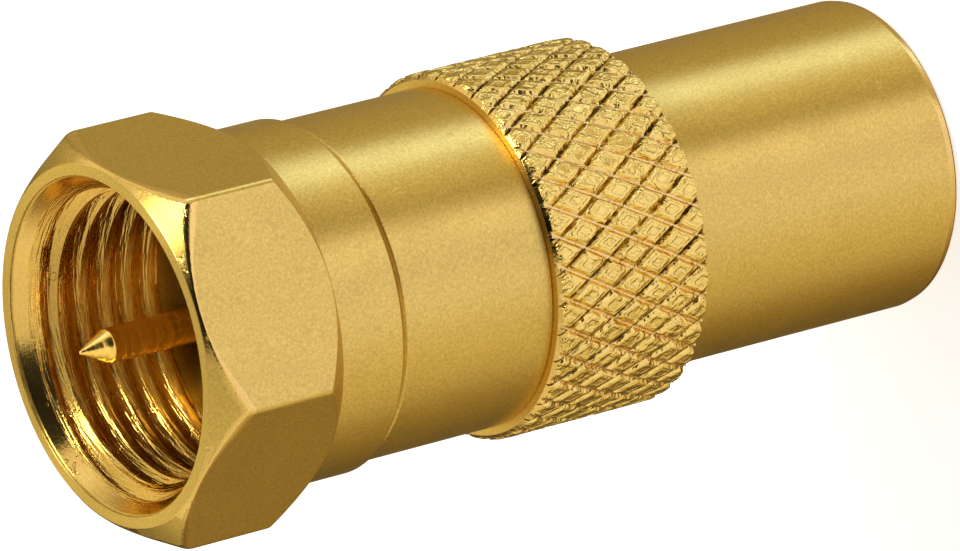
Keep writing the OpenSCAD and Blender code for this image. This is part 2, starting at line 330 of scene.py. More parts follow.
# %% Insulator plastic
def plastic_material():
    material, tree = empty_material("polyethylene_turned")
    place = add(tree, "ShaderNodeTexCoord").outputs["Object"]
    rings = add(tree, "ShaderNodeTexWave", {
        "Vector": place, "Scale": 2 * math.pi / 20 / (0.658 * MM), "Distortion": 0.6,
        "Detail": 1.0}, wave_type="RINGS", rings_direction="Z")
    spots = add(tree, NOISE, {"Vector": place, "Scale": 1 / (0.5 * MM)})
    colour = add(tree, "ShaderNodeValToRGB", {"Fac": spots})
    colour.color_ramp.elements[0].color = linear("#E4E1D4")
    colour.color_ramp.elements[1].color = linear("#F2F0E6")
    bump = add(tree, "ShaderNodeBump", {
        "Height": rings.outputs["Fac"], "Strength": 0.6, "Distance": 0.004 * MM})
    shader = add(tree, "ShaderNodeBsdfPrincipled", {
        "Base Color": colour, "Roughness": 0.42, "IOR": 1.51,
        "Subsurface Weight": 0.2, "Subsurface Scale": 0.4 * MM, "Normal": bump})
    add(tree, "ShaderNodeOutputMaterial", {"Surface": shader})
    return material


white_plastic = plastic_material()
print(white_plastic.name)

# %% [markdown]
# ## Turned pieces
# Every piece here comes off a lathe, so it is one half section swept round the axis. Blender's
# Screw modifier could do it. A short function does it too, and can also let the section change with
# the angle, which is what the hexagon needs later.
# No real edge is sharp. Each corner of a section becomes a small arc, and the arc is where the thin
# bright lines on turned metal come from. A point on each side of the arc keeps the flats flat.

# %% Rounded corners
ARC_STEPS = 4
FLAT_MARGIN = 1.4


def rounded(section, radii, closed=True):
    """A section of (r, z) points with its corners rounded. radii is one number, or one a corner."""
    count = len(section)
    if not isinstance(radii, (list, tuple)):
        radii = [radii] * count
    out = []
    for index, (here, radius) in enumerate(zip(section, radii)):
        corner = Vector(here)
        if not closed and index in (0, count - 1) or radius == 0:
            out.append(tuple(corner))
            continue
        back = Vector(section[index - 1]) - corner
        ahead = Vector(section[(index + 1) % count]) - corner
        cut = min(radius, 0.3 * back.length, 0.3 * ahead.length)
        start, end = corner + back.normalized() * cut, corner + ahead.normalized() * cut
        out.append(tuple(corner + back.normalized() * cut * FLAT_MARGIN))
        for step in range(ARC_STEPS + 1):
            t = step / ARC_STEPS
            out.append(tuple((1 - t) ** 2 * start + 2 * t * (1 - t) * corner + t ** 2 * end))
        out.append(tuple(corner + ahead.normalized() * cut * FLAT_MARGIN))
    return out


print("points at a rounded corner:", len(rounded([(0, 0), (1, 0), (0, 1)], 0.1)) // 3)

# %% Sweep and finish
ROUND = [step * 1.5 for step in range(240)]


def sweep(bm, section_at, angles, closed=True):
    """Sweeps a section, in mm, round the axis. section_at gives the (r, z) points for an angle."""
    rows = []
    for angle in angles:
        turn = math.radians(angle)
        rows.append([
            bm.verts.new((r * math.cos(turn) * MM, r * math.sin(turn) * MM, z * MM))
            for r, z in section_at(angle)])
    points = len(rows[0])
    for index, row in enumerate(rows):
        following = rows[(index + 1) % len(rows)]
        for place in range(points if closed else points - 1):
            other = (place + 1) % points
            bm.faces.new((row[place], following[place], following[other], row[other]))


def finished(bm, name, materials, body, node, sharp=50):
    """Makes the mesh an object that stands for a CAD node."""
    bmesh.ops.remove_doubles(bm, verts=bm.verts, dist=0.0002 * MM)
    bmesh.ops.recalc_face_normals(bm, faces=bm.faces)
    for face in bm.faces:
        face.smooth = True
    for edge in bm.edges:
        if len(edge.link_faces) == 2:
            edge.smooth = edge.calc_face_angle(0) < math.radians(sharp)
    open_edges = sum(1 for edge in bm.edges if len(edge.link_faces) != 2)
    mesh = bpy.data.meshes.new(name)
    bm.to_mesh(mesh)
    bm.free()
    piece = bpy.data.objects.new(name, mesh)
    bpy.context.collection.objects.link(piece)
    for material in materials:
        mesh.materials.append(material)
    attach(piece, body)
    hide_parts(node)
    print(f"{name}: {len(mesh.polygons)} faces, {open_edges} open edges")


def turned(section, name, material, node, slot_name, closed=True, sharp=50):
    """Makes a piece of the adapter from one section, swept round the axis."""
    bm = bmesh.new()
    sweep(bm, lambda angle: section, ROUND, closed)
    finished(bm, name, [material], "adapter", node, sharp)


print("steps round a turned piece:", len(ROUND))

# %% [markdown]
# ## Barrel
# The smooth barrel is between the nut and the knurled ring. Its spigot is pressed into the ring,
# and its front takes the ferrule. The section repeats the one in the part's source.

# %% Sizes that several pieces share
# Lengths are in millimetres. Names in _z are heights over the sleeve's rim, and in _r radii.
ring_z = 10.0
seam_z = 15.3
knurl_d = 11.15
ring_bevel = 0.2
barrel_top = 20.6
barrel_r = 10.28 / 2
spigot_z = seam_z - 2.7
spigot_r = 8.4 / 2
spigot_bore_r = 5.9 / 2
web_bore_r = 3.6 / 2
web_l = 0.8
neck_r = 6.6 / 2
ferrule_z = barrel_top - 3.2
front_seat_z = ferrule_z + 0.6
nut_play, lip_l, flange_l = 0.1, 0.75, 0.62
flange_z = barrel_top + nut_play + lip_l + nut_play
flange_top = flange_z + flange_l
edge_arc = 0.03

# %% Barrel
rear_edge, front_edge = 0.03, 0.12
barrel_section = [
    (spigot_bore_r, spigot_z),
    (spigot_r - 0.15, spigot_z),
    (spigot_r, spigot_z + 0.15),
    (spigot_r, seam_z),
    (barrel_r - rear_edge, seam_z),
    (barrel_r, seam_z + rear_edge),
    (barrel_r, barrel_top - front_edge),
    (barrel_r - front_edge, barrel_top),
    (neck_r, barrel_top),
    (neck_r, ferrule_z),
    (web_bore_r, ferrule_z),
    (web_bore_r, ferrule_z - web_l),
    (spigot_bore_r, ferrule_z - web_l),
]
bm = bmesh.new()
sweep(bm, lambda angle, points=rounded(barrel_section, edge_arc): points, ROUND)
# The barrel's end inside the gap gets the painted shade
for face in bm.faces:
    spot = face.calc_center_median() / MM
    if spot.z > barrel_top - 0.05 and spot.xy.length < barrel_r - 0.05:
        face.material_index = 1
finished(bm, "barrel_turned", [satin_gold, painted_gap_shade], "adapter", "barrel")

# %% [markdown]
# ## Ferrule, insulators and contacts
# They are inside, and only their ends show. They are turned too, so the same two helpers make them.
# The F contact ends in a 60 degree point, because it has to find its way into a socket's spring.

# %% Ferrule
flange_r, tube_bore_r = 4.15, 2.7
turned(rounded([
    (web_bore_r, ferrule_z),
    (neck_r - 0.15, ferrule_z),
    (neck_r, ferrule_z + 0.15),
    (neck_r, flange_z),
    (flange_r, flange_z),
    (flange_r, flange_top - 0.15),
    (flange_r - 0.15, flange_top),
    (tube_bore_r, flange_top),
    (tube_bore_r, front_seat_z),
    (web_bore_r, front_seat_z),
], edge_arc), "ferrule_turned", satin_gold, "ferrule", "shell")

# %% Insulators
f_shank_r, aerial_shank_r = 0.75, 1.35
front_face_z = flange_top - 0.1
turned(rounded([
    (f_shank_r, front_seat_z), (tube_bore_r, front_seat_z),
    (tube_bore_r, front_face_z), (f_shank_r, front_face_z),
], 0.04), "front_insulator_turned", white_plastic, "front_insulator", "insulator")

web_z, web_top, web_r, seat_r = 9.2, 9.9, 3.55, 4.2
collar_r, collar_z = 1.8, spigot_z - 1
turned(rounded([
    (aerial_shank_r, web_z), (web_r, web_z), (web_r, web_top), (seat_r, web_top),
    (seat_r, spigot_z), (collar_r, spigot_z), (collar_r, collar_z), (aerial_shank_r, collar_z),
], 0.04), "rear_insulator_turned", white_plastic, "rear_insulator", "insulator")

# %% Contacts
pin_r, nose_r, nose_z = 1.19, 2.38 / 5, 0.5
socket_r, f_pin_r = 0.975, 0.525
socket_floor_z = spigot_z + 0.15
nose = [(0, nose_z)] + [
    (pin_r - nose_r + nose_r * math.sin(math.radians(lean)),
     nose_z + nose_r - nose_r * math.cos(math.radians(lean))) for lean in range(0, 91, 10)]
turned(nose + [
    (pin_r, web_z), (aerial_shank_r, web_z), (aerial_shank_r, collar_z), (collar_r, collar_z),
    (collar_r, spigot_z), (socket_r, spigot_z), (socket_r, spigot_z + 1.9),
    (f_pin_r, spigot_z + 1.9), (f_pin_r, socket_floor_z), (0, socket_floor_z),
], "aerial_contact_turned", contact_gold, "aerial_contact", "contact", closed=False, sharp=30)

stop_r, stop_z = 0.95, front_seat_z - 0.3
f_tip_z, f_point_l, f_point_r = cad_high.z / MM, 0.9, 0.0525
turned(rounded([
    (0, socket_floor_z), (f_pin_r, socket_floor_z), (f_pin_r, stop_z), (stop_r, stop_z),
    (stop_r, front_seat_z), (f_shank_r, front_seat_z), (f_shank_r, front_face_z),
    (f_pin_r, front_face_z), (f_pin_r, f_tip_z - f_point_l), (f_point_r, f_tip_z), (0, f_tip_z),
], [0, 0, 0, 0, 0, 0, 0, 0.02, 0.05, 0.02, 0], closed=False),
    "f_contact_turned", contact_gold, "f_contact", "contact", closed=False, sharp=30)

# %% [markdown]
# ## The knurl as a Geometry Nodes tree
# Two wheels pressed 37 grooves of each hand into the ring, at 30.7 degrees to the axis. What is
# left standing between them is a field of diamond pads.
# An Array modifier could repeat a pad, but the rows are offset by half a pitch and the field has to
# close on itself. In Geometry Nodes one pad is a small grid, lowered at its four sides to form half
# of each groove. It is set on points in offset rows, and the flat field is then rolled up into a
# ring. Seeded noise tears the pads a little, as pressing does.

# %% Helpers for Geometry Nodes
def group_inputs(tree, values):
    for name, value in values.items():
        kind = "NodeSocketInt" if isinstance(value, int) else "NodeSocketFloat"
        if isinstance(value, bpy.types.Material):
            kind = "NodeSocketMaterial"
        tree.interface.new_socket(name, in_out="INPUT", socket_type=kind)
    tree.interface.new_socket("Geometry", in_out="OUTPUT", socket_type="NodeSocketGeometry")
    return tree.nodes.new("NodeGroupInput").outputs


def grown(name, build, values):
    """Runs a Geometry Nodes tree on an empty mesh and returns what it grows."""
    tree = bpy.data.node_groups.new(name, "GeometryNodeTree")
    given = group_inputs(tree, values)
    build(tree, given)
    holder = bpy.data.objects.new(name, bpy.data.meshes.new(name))
    bpy.context.collection.objects.link(holder)
    modifier = holder.modifiers.new(name, "NODES")
    modifier.node_group = tree
    for item in tree.interface.items_tree:
        if item.in_out == "INPUT":
            modifier[item.identifier] = values[item.name]
    seen = holder.evaluated_get(bpy.context.evaluated_depsgraph_get())
    mesh = bpy.data.meshes.new_from_object(seen)
    holder.modifiers.clear()
    bpy.data.objects.remove(holder)
    print(f"{name}: {len(mesh.polygons)} faces grown")
    return mesh

# %% Sizes of the knurl and one pad
PAD_STRIPS = 14
print("strips across one pad:", PAD_STRIPS)


def knurl_sizes(tree, given):
    """Sizes that follow from the inputs. The half-widths are shares of a pad with its grooves."""
    radius = add(tree, MATH, (given["Ring diameter"], 0.5), operation="MULTIPLY")
    girth = add(tree, MATH, (given["Ring diameter"], math.pi), operation="MULTIPLY")
    pitch = add(tree, MATH, (girth, given["Starts"]), operation="DIVIDE")
    slope = add(tree, MATH, (given["Groove angle"],), operation="COSINE")
    across = add(tree, MATH, (pitch, slope), operation="MULTIPLY")
    lean = add(tree, MATH, (given["Groove angle"],), operation="TANGENT")
    lean = add(tree, MATH, (lean, 2.0), operation="MULTIPLY")
    row_pitch = add(tree, MATH, (pitch, lean), operation="DIVIDE")
    halves = {}
    for name in ("Groove width", "First floor", "Second floor"):
        share = add(tree, MATH, (given[name], across), operation="DIVIDE")
        share = add(tree, MATH, (share, 0.5), operation="MULTIPLY")
        halves[name] = add(tree, MATH, (0.5, share), operation="SUBTRACT")
    return radius, pitch, row_pitch, halves


def knurl_pad(tree, pitch, row_pitch, halves):
    """One pad: a grid whose outer four strips on each side are squeezed into the groove."""
    top_half = halves["Groove width"]
    strip = 3 / PAD_STRIPS
    patch = add(tree, "GeometryNodeMeshGrid", {
        "Size X": 1.0, "Size Y": 1.0,
        "Vertices X": PAD_STRIPS + 1, "Vertices Y": PAD_STRIPS + 1})
    spot = add(tree, "GeometryNodeInputPosition")
    size = add(tree, VECTOR, (spot,), operation="ABSOLUTE")
    side = add(tree, VECTOR, (spot,), operation="SIGN")
    inner = add(tree, VECTOR, (size, (strip, strip, 0)), operation="MINIMUM")
    outer = add(tree, VECTOR, (size, (strip, strip, 0)), operation="SUBTRACT")
    outer = add(tree, VECTOR, (outer, (0, 0, 0)), operation="MAXIMUM")
    widen = add(tree, MATH, (top_half, strip), operation="DIVIDE")
    squeeze = add(tree, MATH, (0.5, top_half), operation="SUBTRACT")
    squeeze = add(tree, MATH, (squeeze, 0.5 - strip), operation="DIVIDE")
    inner = add(tree, VECTOR, {0: inner, "Scale": widen}, operation="SCALE")
    outer = add(tree, VECTOR, {0: outer, "Scale": squeeze}, operation="SCALE")
    far = add(tree, VECTOR, (inner, outer), operation="ADD")
    placed = add(tree, VECTOR, (far, side), operation="MULTIPLY")
    cell = add(tree, "ShaderNodeSeparateXYZ", (placed,)).outputs
    reach = add(tree, "ShaderNodeSeparateXYZ", (far,)).outputs
    rises = [add(tree, RANGE, {
        "Value": reach[axis], "From Min": top_half, "From Max": halves[name],
        "To Min": 1.0, "To Max": 0.0}, interpolation_type="SMOOTHSTEP").outputs[0]
        for axis, name in enumerate(("First floor", "Second floor"))]
    height = add(tree, MATH, rises, operation="MINIMUM")
    edge = add(tree, MATH, (reach[0], reach[1]), operation="MAXIMUM")
    edge = add(tree, MATH, (edge, 2.0), operation="MULTIPLY")
    first = add(tree, MATH, (reach[0], reach[1]), operation="GREATER_THAN")
    along = add(tree, MATH, (cell[0], cell[1]), operation="ADD")
    along = add(tree, MATH, (along, pitch), operation="MULTIPLY")
    along = add(tree, MATH, (along, 0.5), operation="MULTIPLY")
    up = add(tree, MATH, (cell[0], cell[1]), operation="SUBTRACT")
    up = add(tree, MATH, (up, row_pitch), operation="MULTIPLY")
    flat = add(tree, "ShaderNodeCombineXYZ", (along, up, 0.0))
    kept = patch.outputs[0]
    for name, value in (("pad_height", height), ("pad_reach", edge), ("pad_side", first)):
        kept = add(tree, "GeometryNodeStoreNamedAttribute", {
            "Geometry": kept, "Name": name, "Value": value}, data_type="FLOAT", domain="POINT")
    return add(tree, "GeometryNodeSetPosition", {"Geometry": kept, "Position": flat})

# %% Field of pads
def knurl_field(tree, given, pad, pitch, row_pitch):
    """The pad on points in rows, every other row half a pitch along."""
    count = add(tree, MATH, (given["Starts"], given["Rows"]), operation="MULTIPLY")
    points = add(tree, "GeometryNodePoints", {"Count": count})
    number = add(tree, "GeometryNodeInputIndex")
    column = add(tree, MATH, (number, given["Starts"]), operation="MODULO")
    row = add(tree, MATH, (number, given["Starts"]), operation="DIVIDE")
    row = add(tree, MATH, (row,), operation="FLOOR")
    row = add(tree, MATH, (row, 1.0), operation="SUBTRACT")
    shift = add(tree, MATH, (row, 2.0), operation="FLOORED_MODULO")
    shift = add(tree, MATH, (shift, 0.5), operation="MULTIPLY")
    point_x = add(tree, MATH, (column, shift), operation="ADD")
    point_x = add(tree, MATH, (point_x, pitch), operation="MULTIPLY")
    point_y = add(tree, MATH, (row, row_pitch), operation="MULTIPLY")
    point_y = add(tree, MATH, (point_y, given["First height"]), operation="ADD")
    row_place = add(tree, "ShaderNodeCombineXYZ", (point_x, point_y, 0.0))
    rows = add(tree, "GeometryNodeSetPosition", {"Geometry": points, "Position": row_place})
    field = add(tree, "GeometryNodeInstanceOnPoints", {"Points": rows, "Instance": pad})
    luck = add(tree, "FunctionNodeRandomValue", {"Seed": given["Seed"]}, data_type="FLOAT")
    lucky = add(tree, "GeometryNodeStoreNamedAttribute", {
        "Geometry": field, "Name": "pad_luck", "Value": luck.outputs[1]},
        data_type="FLOAT", domain="INSTANCE")
    return add(tree, "GeometryNodeRealizeInstances", {"Geometry": lucky})

# %% Knurl rolled up
def knurl_tree(tree, given):
    """Rolls the flat field up into a ring, tears the pads a little and trims them at the bevel."""
    radius, pitch, row_pitch, halves = knurl_sizes(tree, given)
    pad = knurl_pad(tree, pitch, row_pitch, halves)
    real = knurl_field(tree, given, pad, pitch, row_pitch)
    here = add(tree, "ShaderNodeSeparateXYZ", (add(tree, "GeometryNodeInputPosition"),)).outputs
    angle = add(tree, MATH, (here[0], radius), operation="DIVIDE")
    cosine = add(tree, MATH, (angle,), operation="COSINE")
    sine = add(tree, MATH, (angle,), operation="SINE")
    full_x = add(tree, MATH, (cosine, radius), operation="MULTIPLY")
    full_y = add(tree, MATH, (sine, radius), operation="MULTIPLY")
    full = add(tree, "ShaderNodeCombineXYZ", (full_x, full_y, here[1]))
    tear = add(tree, NOISE, {"Vector": full, "Scale": 1 / (0.22 * MM), "Detail": 2.0},
               noise_dimensions="3D")
    torn = add(tree, MATH, (tear, 0.75), operation="SUBTRACT")
    torn = add(tree, MATH, (torn, given["Tearing"]), operation="MULTIPLY")
    stand = add(tree, MATH, (given["Groove depth"], torn), operation="ADD")
    stored = add(tree, "GeometryNodeInputNamedAttribute", {"Name": "pad_height"}, data_type="FLOAT")
    stand = add(tree, MATH, (stored, stand), operation="MULTIPLY")
    floor_radius = add(tree, MATH, (radius, given["Groove depth"]), operation="SUBTRACT")
    out = add(tree, MATH, (floor_radius, stand), operation="ADD")
    bevel = add(tree, MATH, (radius, given["Bevel"]), operation="SUBTRACT")
    bevel = add(tree, MATH, (bevel, given["Top height"]), operation="ADD")
    bevel = add(tree, MATH, (bevel, here[1]), operation="SUBTRACT")
    trimmed = add(tree, MATH, (out, bevel), operation="MINIMUM")
    ring_x = add(tree, MATH, (cosine, trimmed), operation="MULTIPLY")
    ring_y = add(tree, MATH, (sine, trimmed), operation="MULTIPLY")
    rolled = add(tree, "ShaderNodeCombineXYZ", (ring_x, ring_y, here[1]))
    ring = add(tree, "GeometryNodeSetPosition", {"Geometry": real, "Position": rolled})
    joined = add(tree, "GeometryNodeMergeByDistance", {"Geometry": ring, "Distance": 0.002 * MM})
    painted = add(tree, "GeometryNodeSetMaterial", {
        "Geometry": joined, "Material": given["Material"]})
    add(tree, "NodeGroupOutput", {"Geometry": painted})

# %% Knurl
starts = 37
groove_angle = math.radians(30.7)
row_pitch = math.pi * knurl_d / starts / math.tan(groove_angle) / 2
knurl_mesh = grown("knurl_pads", knurl_tree, {
    "Ring diameter": knurl_d * MM, "Starts": starts, "Groove angle": groove_angle,
    "Groove width": 0.24 * MM, "First floor": 0.02 * MM, "Second floor": 0.06 * MM,
    "Groove depth": 0.11 * MM,
    "Rows": math.ceil((seam_z - ring_z) / row_pitch) + 2,
    "First height": (ring_z + row_pitch / 4) * MM,
    "Bevel": ring_bevel * MM, "Top height": seam_z * MM,
    "Tearing": 0.05 * MM, "Seed": 11, "Material": knurled_gold})

# %% [markdown]
# ## Sleeve and knurled ring
# They are one piece of metal. The knurl is cut off square at the ring's rear end, and a 45 degree
# bevel ends it in front, outside a flat face that the barrel stands on. The plain surfaces are
# swept, and the open edges of the knurl are filled against them, so that the piece is one closed
# skin. The bevel and the sleeve's rim are bright, because edges are what hands and sockets rub.

# %% Helpers for cutting
SNAP = 0.0001
print("cuts snap within", SNAP, "mm")


def level_cut(bm, height, keep_above=None):
    """Cuts a mesh at a height, and drops what is below or above where keep_above says so."""
    bmesh.ops.bisect_plane(
        bm, geom=bm.verts[:] + bm.edges[:] + bm.faces[:], dist=SNAP * MM,
        plane_co=(0, 0, height * MM), plane_no=(0, 0, 1),
        clear_inner=keep_above is True, clear_outer=keep_above is False)


def open_loop(bm, height):
    """The open edges that lie at a height."""
    return [edge for edge in bm.edges if len(edge.link_faces) == 1
            and all(abs(v.co.z / MM - height) < 0.003 for v in edge.verts)]


# %% Knurl cut to the ring
bm = bmesh.new()
bm.from_mesh(knurl_mesh)
level_cut(bm, ring_z, keep_above=True)
level_cut(bm, seam_z, keep_above=False)
for share in (1, 0.85, 0.7, 0.5):
    level_cut(bm, seam_z - ring_bevel * share)
bevel_sum = knurl_d / 2 - ring_bevel + seam_z
for vert in bm.verts:
    out = math.hypot(vert.co.x, vert.co.y)
    most = bevel_sum * MM - vert.co.z
    if out > most:
        vert.co.x *= most / out
        vert.co.y *= most / out
pressed = {
    face for face in bm.faces
    if any(math.hypot(*v.co.xy) + v.co.z < (bevel_sum - 0.001) * MM for v in face.verts)}
print("pressed faces:", len(pressed))

# %% Sleeve and ring
sleeve_r, sleeve_bore_r = 9.52 / 2, 4.15
taper_z, rim_edge = 0.32, 0.16
sleeve_section = rounded([
    (sleeve_r, ring_z),
    (sleeve_r, taper_z),
    (sleeve_r - 0.05, 0.11),
    (sleeve_r - rim_edge, 0),
    (sleeve_bore_r + rim_edge, 0),
    (sleeve_bore_r, rim_edge),
    (sleeve_bore_r, web_z),
    (web_r, web_z),
    (web_r, web_top),
    (seat_r, web_top),
    (seat_r, seam_z - 0.15),
    (4.35, seam_z),
], edge_arc, closed=False)
sweep(bm, lambda angle: sleeve_section, ROUND, closed=False)
for height in (ring_z, seam_z):
    bmesh.ops.triangle_fill(bm, edges=open_loop(bm, height), use_beauty=True)

KNURLED, SATIN, BRIGHT = range(3)
for face in bm.faces:
    spot = face.calc_center_median() / MM
    on_bevel = face not in pressed and seam_z - 0.5 < spot.z <= seam_z - 0.01
    on_rim = spot.z < taper_z + 0.01 and spot.xy.length > sleeve_r - 0.21
    if on_bevel or on_rim:
        face.material_index = BRIGHT
    else:
        face.material_index = KNURLED if face in pressed else SATIN
finished(bm, "rear_shell_knurled", [knurled_gold, satin_gold, bright_gold],
         "adapter", "rear_shell", sharp=35)

# %% [markdown]
# ## The nut's thread
# The thread is 3/8-32: 32 turns to the inch, so the pitch is 0.794 mm, with flanks at 60 degrees.
# It could be a ridge swept along a curve. A grid that is as long as the whole helix and one pitch
# wide is simpler: rolled up, each turn ends where the next begins, and the seams merge.
# Cones at both ends cut the crests off, as a countersink does.

# %% Node tree for the thread
TURN_STEPS = 192
print("steps in one turn of thread:", TURN_STEPS)


def thread_tree(tree, given):
    length = add(tree, MATH, (given["Turns"], float(TURN_STEPS)), operation="MULTIPLY")
    length = add(tree, MATH, (length, 1.0), operation="ADD")
    grid = add(tree, "GeometryNodeMeshGrid", {
        "Size X": given["Turns"], "Size Y": 1.0, "Vertices X": length, "Vertices Y": 17})
    spot = add(tree, "ShaderNodeSeparateXYZ", (add(tree, "GeometryNodeInputPosition"),)).outputs
    half = add(tree, MATH, (given["Turns"], 0.5), operation="MULTIPLY")
    turns = add(tree, MATH, (spot[0], half), operation="ADD")
    angle = add(tree, MATH, (turns, 2 * math.pi), operation="MULTIPLY")
    climbed = add(tree, MATH, (turns, spot[1]), operation="ADD")
    climbed = add(tree, MATH, (climbed, 0.5), operation="ADD")
    climbed = add(tree, MATH, (climbed, given["Pitch"]), operation="MULTIPLY")
    height = add(tree, MATH, (given["Start height"], climbed), operation="ADD")
    off = add(tree, MATH, (spot[1],), operation="ABSOLUTE")
    # The crest is a quarter of the pitch wide, and the root an eighth
    flank = add(tree, RANGE, {
        "Value": off, "From Min": 0.125, "From Max": 0.4375,
        "To Min": given["Crest radius"], "To Max": given["Root radius"]})
    mouth = add(tree, MATH, (height, given["Mouth cone height"]), operation="SUBTRACT")
    mouth = add(tree, MATH, (mouth, given["Mouth cone slope"]), operation="MULTIPLY")
    mouth = add(tree, MATH, (given["Crest radius"], mouth), operation="ADD")
    relief = add(tree, MATH, (given["Relief cone height"], height), operation="SUBTRACT")
    relief = add(tree, MATH, (given["Crest radius"], relief), operation="ADD")
    out = add(tree, MATH, (mouth, relief), operation="MAXIMUM")
    out = add(tree, MATH, (flank, out), operation="MAXIMUM")
    cosine = add(tree, MATH, (angle,), operation="COSINE")
    sine = add(tree, MATH, (angle,), operation="SINE")
    x = add(tree, MATH, (cosine, out), operation="MULTIPLY")
    y = add(tree, MATH, (sine, out), operation="MULTIPLY")
    rolled = add(tree, "ShaderNodeCombineXYZ", (x, y, height))
    helix = add(tree, "GeometryNodeSetPosition", {"Geometry": grid, "Position": rolled})
    joined = add(tree, "GeometryNodeMergeByDistance", {"Geometry": helix, "Distance": 0.0005 * MM})
    real = add(tree, "GeometryNodeRealizeInstances", {"Geometry": joined})
    painted = add(tree, "GeometryNodeSetMaterial", {
        "Geometry": real, "Material": given["Material"]})
    add(tree, "NodeGroupOutput", {"Geometry": painted})

# %% Nut thread
nut_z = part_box("coupling_nut")[0][2] / MM
nut_l = 6.92
pitch = 25.4 / 32
crest_r, root_r = 4.35, 4.7625
mouth_r, mouth_z = 5.05, nut_l - 0.05
lead_in = math.tan(math.radians(32))
relief_r = 4.8
thread_z = lip_l + 1.1
thread_low, thread_high = nut_z + thread_z + 0.02, nut_z + mouth_z - 0.06
thread_mesh = grown("nut_thread", thread_tree, {
    "Turns": 8, "Pitch": pitch * MM, "Start height": (thread_low - pitch) * MM,
    "Crest radius": crest_r * MM, "Root radius": root_r * MM,
    "Mouth cone height": (nut_z + mouth_z - (mouth_r - crest_r) / lead_in) * MM,
    "Mouth cone slope": lead_in,
    "Relief cone height": (nut_z + thread_z + (relief_r - crest_r)) * MM,
    "Material": thread_gold})

# %% [markdown]
# ## Coupling nut
# The nut is hexagonal bar turned at both ends: a round collar behind, a 40 degree chamfer in front.
# A boolean cut would give ragged edges where the cones meet the flats. Instead the half section
# changes with the angle: where the bar is wider, the chamfer reaches further down, and that curve
# is the scalloped line that every nut has. The corners between the flats are rounded, as on drawn
# bar. The countersink in the mouth left a small ragged burr under the rim, which is a wavering
# undercut. The countersink itself is bright, and so are the edges that fingers rub: the chamfer's
# rounded outer edge and its narrow parts. Its wide corners stay satin.

# %% Outline of the nut
nut_turn = 3
flat_r, edge_r, face_r = 5.5, 0.262, 5.4
sixty = math.radians(60)
corner_r = flat_r / math.cos(math.radians(30))
arc_centre = corner_r - edge_r / math.sin(sixty)
arc_start = math.degrees(math.atan2(
    edge_r / math.tan(sixty) * math.sin(sixty),
    corner_r - edge_r / math.tan(sixty) * math.cos(sixty)))
bevel_r, collar_l, nut_collar_r, lip_r = 5.44, 2.27, 5.34, 3.35
print("nut across its corners:", round(2 * corner_r, 2), "mm before rounding")


def bar_radius(angle):
    """How far out the rounded hexagon is at an angle."""
    off = (angle - nut_turn + 30) % 60 - 30
    if abs(off) < arc_start:
        side = arc_centre * math.sin(math.radians(off))
        return arc_centre * math.cos(math.radians(off)) + math.sqrt(edge_r ** 2 - side ** 2)
    return flat_r / math.cos(math.radians(30 - abs(off)))


def burr(angle, seed):
    """A wavering number from 0 to 1: waves of several lengths that close on themselves."""
    turn = math.radians(angle)
    waves = sum(math.sin(n * turn + seed * n) for n in (5, 13, 31, 67, 103))
    return 0.5 + waves / 10


def nut_section(angle):
    """The nut's outside and its bore up to the thread: (r, z) points with their corners rounded."""
    bar = bar_radius(angle)
    front = nut_l - (bar - face_r) * math.tan(math.radians(40))
    rear = collar_l + (bar - bevel_r) * math.tan(math.radians(48))
    under = mouth_r + 0.03 + 0.09 * burr(angle, 2)
    lip_z = nut_l - 0.02 - 0.05 * burr(angle, 5)
    corners = [
        (mouth_r - 0.02 * burr(angle, 9), mouth_z - 0.03, 0),
        (under, mouth_z - 0.01, 0),
        (mouth_r, lip_z, 0),
        (mouth_r + 0.02, nut_l, 0.02),
        (face_r, nut_l, 0.03),
        (bar, front, 0.24),
        (bar, rear, 0.05),
        (bevel_r, collar_l, 0.02),
        (nut_collar_r, collar_l, 0.01),
        (nut_collar_r, 0.1, 0.03),
        (nut_collar_r - 0.1, 0, 0.03),
        (lip_r, 0, 0.03),
        (lip_r, lip_l, 0.03),
        (relief_r, lip_l, 0.03),
        (relief_r, thread_z, 0)]
    section = rounded([corner[:2] for corner in corners], [corner[2] for corner in corners],
                      closed=False)
    return [(r, nut_z + z) for r, z in section]

# %% Angles of the sweep
# Fine steps round each corner, and one a degree between them
corner_steps = [-2.6, -1.9, -arc_start, -0.9, -0.6, -0.3, 0, 0.3, 0.6, 0.9, arc_start, 1.9, 2.6]
nut_angles = sorted(
    {round(nut_turn + 60 * corner + step, 4) for corner in range(6) for step in corner_steps}
    | {nut_turn + 60 * corner + 3.5 + step for corner in range(6) for step in range(54)})
print("sections round the nut:", len(nut_angles))

# %% Nut
SATIN, BRIGHT, THREAD = range(3)
front_z = nut_z + 4
bm = bmesh.new()
bm.from_mesh(thread_mesh)
level_cut(bm, thread_low, keep_above=True)
level_cut(bm, thread_high, keep_above=False)
for face in bm.faces:
    spot = face.calc_center_median() / MM
    on_cone = spot.z > front_z and spot.xy.length > root_r + 0.0175
    face.material_index = BRIGHT if on_cone else THREAD
sweep(bm, nut_section, nut_angles, closed=False)
bm.normal_update()
for face in bm.faces:
    spot = face.calc_center_median() / MM
    lean = abs(face.normal.z)
    if spot.z > front_z and spot.xy.length > face_r - 0.1 and 0.03 < lean < 0.9:
        on_edge = lean < 0.74 or spot.xy.length < flat_r + 0.02
        face.material_index = BRIGHT if on_edge else SATIN
for low, high in ((thread_low, nut_z + thread_z), (thread_high, nut_z + mouth_z - 0.03)):
    bmesh.ops.bridge_loops(bm, edges=open_loop(bm, low) + open_loop(bm, high))
finished(bm, "coupling_nut_threaded", [satin_gold, bright_gold, thread_gold],
         "nut", "coupling_nut", sharp=40)

